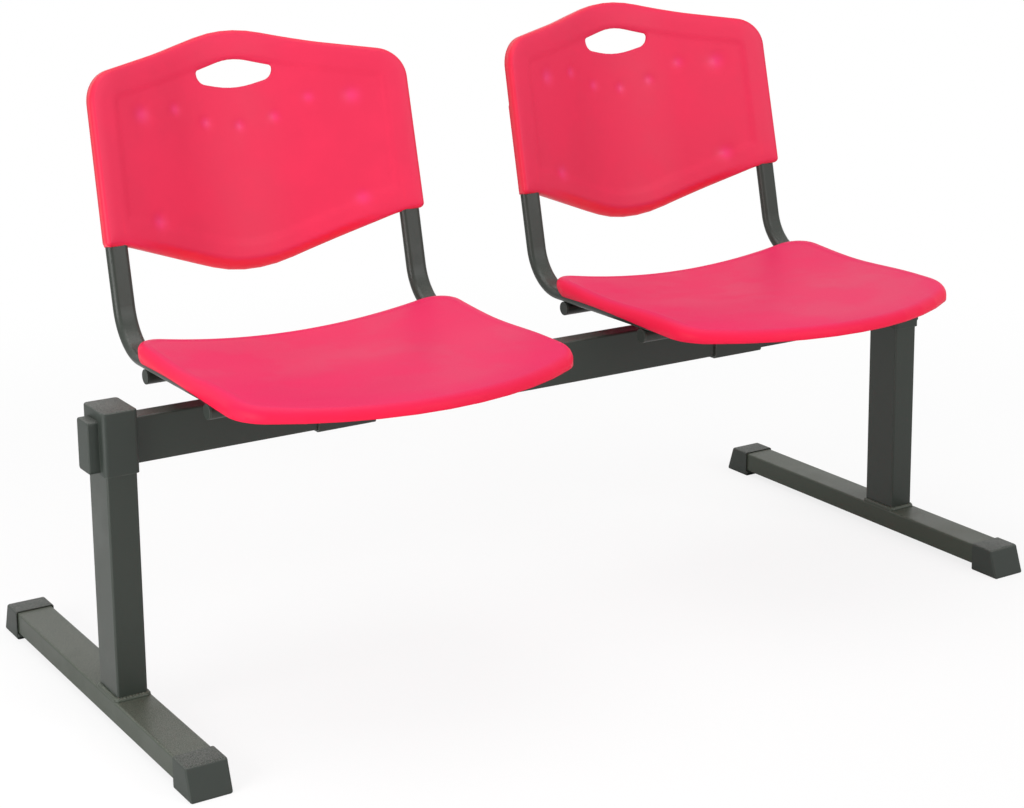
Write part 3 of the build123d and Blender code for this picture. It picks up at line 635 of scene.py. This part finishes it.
for side, sign in (("left", -1), ("right", 1)):
    bead_rings = [side_bead_in + step * side_bead_width for step in (-0.8, 0.0, 0.8)]
    seat_rings = roll_insets(seat_roll, seat_roll_rings) + bead_rings
    seat, (to_edge,) = moulded_sheet([seat_arcs], seat_rings, seat_cell)
    shaded_lip = seat.verts.layers.float.new("shaded_lip")
    rim = [edge for edge in seat.edges if len(edge.link_faces) == 1]
    skirt = bmesh.ops.extrude_edge_only(seat, edges=rim)
    skirt_verts = {item for item in skirt["geom"] if isinstance(item, bmesh.types.BMVert)}
    for vert in seat.verts:
        x, y = vert.co.x, vert.co.y
        nearest, distance = to_edge(vert.co)
        if vert in skirt_verts:
            vert.co.z = skirt_foot(x, y)
            vert[shaded_lip] = 1.0
        else:
            # The lip mark: a deeper red near the edge, painted shade where the roll turns down
            vert[shaded_lip] = max(0.0, 1 - distance / seat_lip_shade_reach)
            front = soft_step(-nearest.y, front_from, front_to)
            vert.co.z = seat_top(x, y) - rolled_edge(distance, seat_roll)
            vert.co.z -= front_fall * front * max(0.0, 1 - distance / front_reach) ** 2
            from_bead = (distance - side_bead_in) / side_bead_width
            vert.co.z += side_bead * (1 - front) * exp(-(from_bead**2))
    for boss_x in (-side_tube_x, side_tube_x):
        for boss_y in boss_rows:
            boss_top = seat_top(boss_x, boss_y) - seat_skin / 2
            bmesh.ops.create_cone(
                seat, cap_ends=False, segments=32, radius1=boss_radius, radius2=boss_radius,
                depth=boss_top - rail_top,
                matrix=Matrix.Translation((boss_x, boss_y, (boss_top + rail_top) / 2)),
            )
    bmesh.ops.translate(seat, verts=seat.verts[:], vec=(sign * seat_x, 0, 0))
    for face in seat.faces:
        face.smooth = True
    seat_mesh = bpy.data.meshes.new(f"moulded_seat_{side}")
    seat.to_mesh(seat_mesh)
    seat.free()
    seat_mesh.materials.append(seat_red_with_painted_sheen)
    seat_piece = bpy.data.objects.new(f"moulded_seat_{side}", seat_mesh)
    bpy.context.scene.collection.objects.link(seat_piece)
    wall = seat_piece.modifiers.new("wall", "SOLIDIFY")
    wall.thickness = seat_skin
    wall.offset = -1.0
    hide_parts(f"seat_pan_{side}")
    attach(seat_piece, "root")


# Back shells: injection-moulded red polypropylene, bowed across, with a soft raised border, a rolled
# edge, a hand hole and shallow dimples. Deep pockets at the rear slide over the uprights.
back_red = coated_material(
    "red_back_plastic",
    colour=(0.73, 0.024, 0.082),
    rubbed=(0.84, 0.024, 0.07),
    dust_and_top_light=(0.76, 0.045, 0.11),
    gloss=0.46,
    peel=1100.0,
    peel_depth=0.00006,
    edge_radius=0.0025,
    specular=0.25,
)
# The lip and the dimples are marked on the mesh: the lip and the rolled rim take a deeper red, a painted
# shade where they turn away from the light; the dimples are polished and take a painted pink glint
mark_material(back_red, "shaded_lip", (0.80, 0.012, 0.040), 0.42)
# The dimples' pink is a painted glint; their lower roughness is the polish
mark_material(back_red, "polish_and_glint", (0.76, 0.036, 0.150), 0.30)
lean = radians(12)
back_corner = Vector((0, 0.127, 0.4285))
back_up = Vector((0, sin(lean), cos(lean)))
back_forward = Vector((0, -cos(lean), sin(lean)))
back_roll = 0.006
hand_roll = 0.0035
back_roll_rings = 6
back_cell = 0.004
back_skin = 0.0032
back_depth = 0.020
edge_fall = 0.0030
edge_reach = 0.018
panel_step = 0.0018
panel_from, panel_to = 0.033, 0.042
hip_up = 0.137
lip_fall = 0.0085
lip_height = 0.015
lip_from, lip_to = 0.003, 0.030
lip_power = 1.2
lip_shade_fade = 0.005
rim_reach = 0.0015
rim_shade = 0.7
dimple_spread = 1.6
polish_and_glint_spread = 2.6
dimple_limit = 6
pocket_foot = 0.1375
pocket_top = 0.2714
pocket_depth = 0.0109
pocket_inner = 0.0184
pocket_outer = 0.0162
pocket_round = 0.004
pocket_set_back = 0.016
band_x = 0.2005
band_forward = 0.0079
wing_angle = radians(21.3)
wing_slope = tan(wing_angle)
band_slope = tan(radians(17.5))
bow_radius = 0.264
bow_half = bow_radius * sin(wing_angle)
bow_rear = band_forward - wing_slope * band_x + bow_radius / cos(wing_angle)


def back_face(x):
    """How far forward the bowed face stands at a place across it."""
    x = abs(x)
    if x < bow_half:
        return bow_rear - sqrt(bow_radius**2 - x * x)
    if x < band_x:
        return band_forward - wing_slope * (band_x - x)
    return band_forward + band_slope * (x - band_x)


# Dimples, each a place across, a place up the back, a radius and a depth
back_dimples = [
    (0.0, 0.281, 0.010, 0.0022), (0.052, 0.289, 0.010, 0.0022), (0.101, 0.311, 0.010, 0.0022),
    (-0.052, 0.289, 0.010, 0.0022), (-0.101, 0.311, 0.010, 0.0022),
    (0.158, 0.307, 0.015, 0.0034), (-0.158, 0.307, 0.015, 0.0034),
    (0.156, 0.162, 0.014, 0.0028), (-0.150, 0.162, 0.014, 0.0028),
]
# Corners of the right half of the outline and of the hand hole: across, up the back, and radius
back_half_outline = [
    (0.0, 0.4215, 0.176), (0.118, 0.388, 0.600), (0.2365, 0.361, 0.046), (0.2390, hip_up, 0.007),
    (0.211, hip_up, 0.130), (0.0, 0.072, 0.205),
]
hand_half_outline = [
    (0.0, 0.3768, 0.083), (0.0575, 0.3605, 0.005), (0.0555, 0.3435, 0.016), (0.0, 0.3314, 0.132)
]


def corner_arcs(half_loop):
    """The arcs of a whole outline from the corners of its right half, listed from its top to its foot."""
    loop = half_loop + [(-x, up, radius) for x, up, radius in reversed(half_loop[1:-1])]
    spots = [Vector((x, up)) for x, up, radius in loop]
    count = len(loop)
    return [
        corner_arc(spots[place - 1], spots[place], spots[(place + 1) % count], loop[place][2])
        for place in range(count)
    ]


for side, sign in (("left", -1), ("right", 1)):
    back_loops = [corner_arcs(back_half_outline), corner_arcs(hand_half_outline)]
    back_rings = roll_insets(back_roll, back_roll_rings)
    back, (to_edge, to_hand) = moulded_sheet(back_loops, back_rings, back_cell)
    shaded_lip = back.verts.layers.float.new("shaded_lip")
    polish_and_glint = back.verts.layers.float.new("polish_and_glint")
    rim = [
        edge for edge in back.edges
        if len(edge.link_faces) == 1 and to_edge(edge.verts[0].co)[1] < rim_reach
    ]
    turned_in = bmesh.ops.extrude_edge_only(back, edges=rim)
    wall_verts = {item for item in turned_in["geom"] if isinstance(item, bmesh.types.BMVert)}
    for vert in back.verts:
        x, up = vert.co.x, vert.co.y
        nearest, distance = to_edge(vert.co)
        forward = back_face(x)
        if vert in wall_verts:
            forward -= back_depth
            vert[shaded_lip] = 1.0
        else:
            forward -= rolled_edge(distance, back_roll)
            forward -= edge_fall * max(0.0, 1 - distance / edge_reach) ** 2
            forward -= rolled_edge(to_hand(vert.co)[1], hand_roll)
            forward -= panel_step * soft_step(distance, panel_from, panel_to)
            lower = soft_step(hip_up - nearest.y, lip_from, lip_to)
            forward -= lip_fall * lower * max(0.0, 1 - distance / lip_height) ** lip_power
            # The lip and the rim are marked for the deeper red of painted shade
            on_shaded_lip = lower * soft_step(lip_height - distance, 0.0, lip_shade_fade)
            vert[shaded_lip] = max(on_shaded_lip, rim_shade * max(0.0, 1 - distance / back_roll))
            for dimple_x, dimple_up, radius, depth in back_dimples:
                away = ((x - dimple_x) ** 2 + (up - dimple_up) ** 2) / radius**2
                if away < dimple_limit:
                    forward -= depth * exp(-dimple_spread * away)
                    # The polish mark: lower roughness, and a painted pink glint
                    vert[polish_and_glint] += exp(-polish_and_glint_spread * away)
        vert.co = back_corner + Vector((x, 0, 0)) + up * back_up + forward * back_forward
    for pocket_side in (-1, 1):
        shell_verts, shell_faces = set(back.verts), set(back.faces)
        mouth = bmesh.ops.create_circle(back, segments=32, radius=pocket_depth)["verts"]
        mouth_edges = list({edge for vert in mouth for edge in vert.link_edges})
        for vert in mouth:
            reach = pocket_outer - pocket_depth if vert.co.x > 0 else pocket_depth - pocket_inner
            vert.co.x = pocket_side * (side_tube_x + vert.co.x + reach)
        tube = bmesh.ops.extrude_edge_only(back, edges=mouth_edges)["geom"]
        top_verts = [item for item in tube if isinstance(item, bmesh.types.BMVert)]
        top_edges = [item for item in tube if isinstance(item, bmesh.types.BMEdge)]
        top_edges = [edge for edge in top_edges if all(vert in top_verts for vert in edge.verts)]
        bmesh.ops.translate(back, verts=top_verts, vec=(0, 0, pocket_top - pocket_foot))
        for vert in mouth:
            vert.co.z = pocket_set_back * max(0.0, vert.co.y / pocket_depth)
        bmesh.ops.edgeloop_fill(back, edges=top_edges)
        bmesh.ops.bevel(
            back, geom=top_edges, offset=pocket_round, offset_type="OFFSET", segments=4, profile=0.5,
            affect="EDGES", material=-1,
        )
        for vert in set(back.verts) - shell_verts:
            across, out, along = vert.co
            vert.co = back_corner + (pocket_foot + along) * back_up + out * back_forward
            vert.co.x += across
        back.normal_update()
        bmesh.ops.recalc_face_normals(back, faces=list(set(back.faces) - shell_faces))
    bmesh.ops.translate(back, verts=back.verts[:], vec=(sign * seat_x, 0, 0))
    for face in back.faces:
        face.smooth = True
    back_mesh = bpy.data.meshes.new(f"moulded_back_{side}")
    back.to_mesh(back_mesh)
    back.free()
    back_mesh.materials.append(back_red)
    back_piece = bpy.data.objects.new(f"moulded_back_{side}", back_mesh)
    bpy.context.scene.collection.objects.link(back_piece)
    wall = back_piece.modifiers.new("wall", "SOLIDIFY")
    wall.thickness = back_skin
    wall.offset = -1.0
    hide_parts(f"back_shell_{side}")
    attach(back_piece, "root")


# Floor and light: a plain white studio sweep. The floor and the surround show white to the camera and
# keep a soft shadow; a large soft lamp stands to the left of the bench and weaker ones fill it.
floor_mesh = bpy.data.meshes.new("floor")
floor_shape = bmesh.new()
bmesh.ops.create_grid(floor_shape, x_segments=1, y_segments=1, size=12.0)
floor_shape.to_mesh(floor_mesh)
floor_shape.free()
floor_look = bpy.data.materials.new("white_floor")
floor_look.use_nodes = True
floor_tree = floor_look.node_tree
floor_shader = floor_tree.nodes["Principled BSDF"]
floor_shader.inputs["Base Color"].default_value = (0.90, 0.90, 0.90, 1)
floor_shader.inputs["Roughness"].default_value = 0.9
floor_shader.inputs["Specular IOR Level"].default_value = 0.1
floor_glow = floor_tree.nodes.new("ShaderNodeEmission")
floor_glow.inputs["Strength"].default_value = 1.0
floor_mix = floor_tree.nodes.new("ShaderNodeMixShader")
floor_path = floor_tree.nodes.new("ShaderNodeLightPath")
floor_place = floor_tree.nodes.new("ShaderNodeTexCoord")
floor_reach = floor_tree.nodes.new("ShaderNodeVectorMath")
floor_reach.operation = "LENGTH"
floor_tree.links.new(floor_place.outputs["Object"], floor_reach.inputs[0])
floor_far = ramp_node(floor_tree, floor_reach.outputs["Value"], 0.6, 2.2, 0.82, 1.0)
floor_share = math_node(floor_tree, "MULTIPLY", floor_path.outputs["Is Camera Ray"], floor_far.outputs[0])
floor_tree.links.new(floor_share, floor_mix.inputs["Fac"])
floor_tree.links.new(floor_shader.outputs["BSDF"], floor_mix.inputs[1])
floor_tree.links.new(floor_glow.outputs["Emission"], floor_mix.inputs[2])
floor_tree.links.new(floor_mix.outputs["Shader"], floor_tree.nodes["Material Output"].inputs["Surface"])
floor_mesh.materials.append(floor_look)
floor = bpy.data.objects.new("floor", floor_mesh)
bpy.context.scene.collection.objects.link(floor)

studio = bpy.data.worlds.new("studio")
bpy.context.scene.world = studio
studio.use_nodes = True
studio_tree = studio.node_tree
studio_fill = studio_tree.nodes["Background"]
studio_fill.inputs["Color"].default_value = (1, 1, 1, 1)
studio_fill.inputs["Strength"].default_value = 0.56
studio_white = studio_tree.nodes.new("ShaderNodeBackground")
studio_white.inputs["Color"].default_value = (1, 1, 1, 1)
studio_white.inputs["Strength"].default_value = 1.0
studio_path = studio_tree.nodes.new("ShaderNodeLightPath")
studio_seen = math_node(
    studio_tree, "MAXIMUM", studio_path.outputs["Is Camera Ray"], studio_path.outputs["Is Transmission Ray"]
)
studio_seen = math_node(studio_tree, "MAXIMUM", studio_seen, studio_path.outputs["Is Glossy Ray"])
studio_mix = studio_tree.nodes.new("ShaderNodeMixShader")
studio_tree.links.new(studio_seen, studio_mix.inputs["Fac"])
studio_tree.links.new(studio_fill.outputs["Background"], studio_mix.inputs[1])
studio_tree.links.new(studio_white.outputs["Background"], studio_mix.inputs[2])
studio_tree.links.new(studio_mix.outputs["Shader"], studio_tree.nodes["World Output"].inputs["Surface"])


def soft_lamp(name, place, target, size, power):
    """A square soft lamp that points at a target."""
    lamp = bpy.data.lights.new(name, "AREA")
    lamp.shape = "SQUARE"
    lamp.size = size
    lamp.energy = power
    holder = bpy.data.objects.new(name, lamp)
    holder.location = place
    holder.rotation_euler = (Vector(target) - Vector(place)).to_track_quat("-Z", "Y").to_euler()
    bpy.context.scene.collection.objects.link(holder)


soft_lamp("left_lamp", (-1.9, -0.5, 0.5), (-0.65, -0.05, 0.05), 1.0, 19)
soft_lamp("front_lamp", (1.6, -3.6, 2.2), (0, 0, 0.5), 2.6, 64)
soft_lamp("top_lamp", (-0.4, 0.1, 3.1), (-0.2, 0, 0.4), 2.2, 34)


# Camera: the photograph's place and lens, above the backs and to the left of the bench. Its place,
# turns and lens were solved from the straight edges of the frame in the photograph.
camera_data = bpy.data.cameras.new("camera")
camera_data.sensor_width = 36.0
camera_data.lens = 74.245
camera_data.shift_y = -0.1748
camera_data.clip_end = 60.0
camera = bpy.data.objects.new("camera", camera_data)
camera_place = Matrix.Translation((-1.55084, -2.41335, 1.13689))
camera_heading = Matrix.Rotation(radians(-32.261), 4, "Z")
camera_tilt = Matrix.Rotation(radians(90 - 11.4962), 4, "X")
camera_roll = Matrix.Rotation(radians(-0.5931), 4, "Z")
camera.matrix_world = camera_place @ camera_heading @ camera_tilt @ camera_roll
bpy.context.scene.collection.objects.link(camera)
bpy.context.scene.camera = camera
bpy.context.scene.view_settings.view_transform = "Standard"
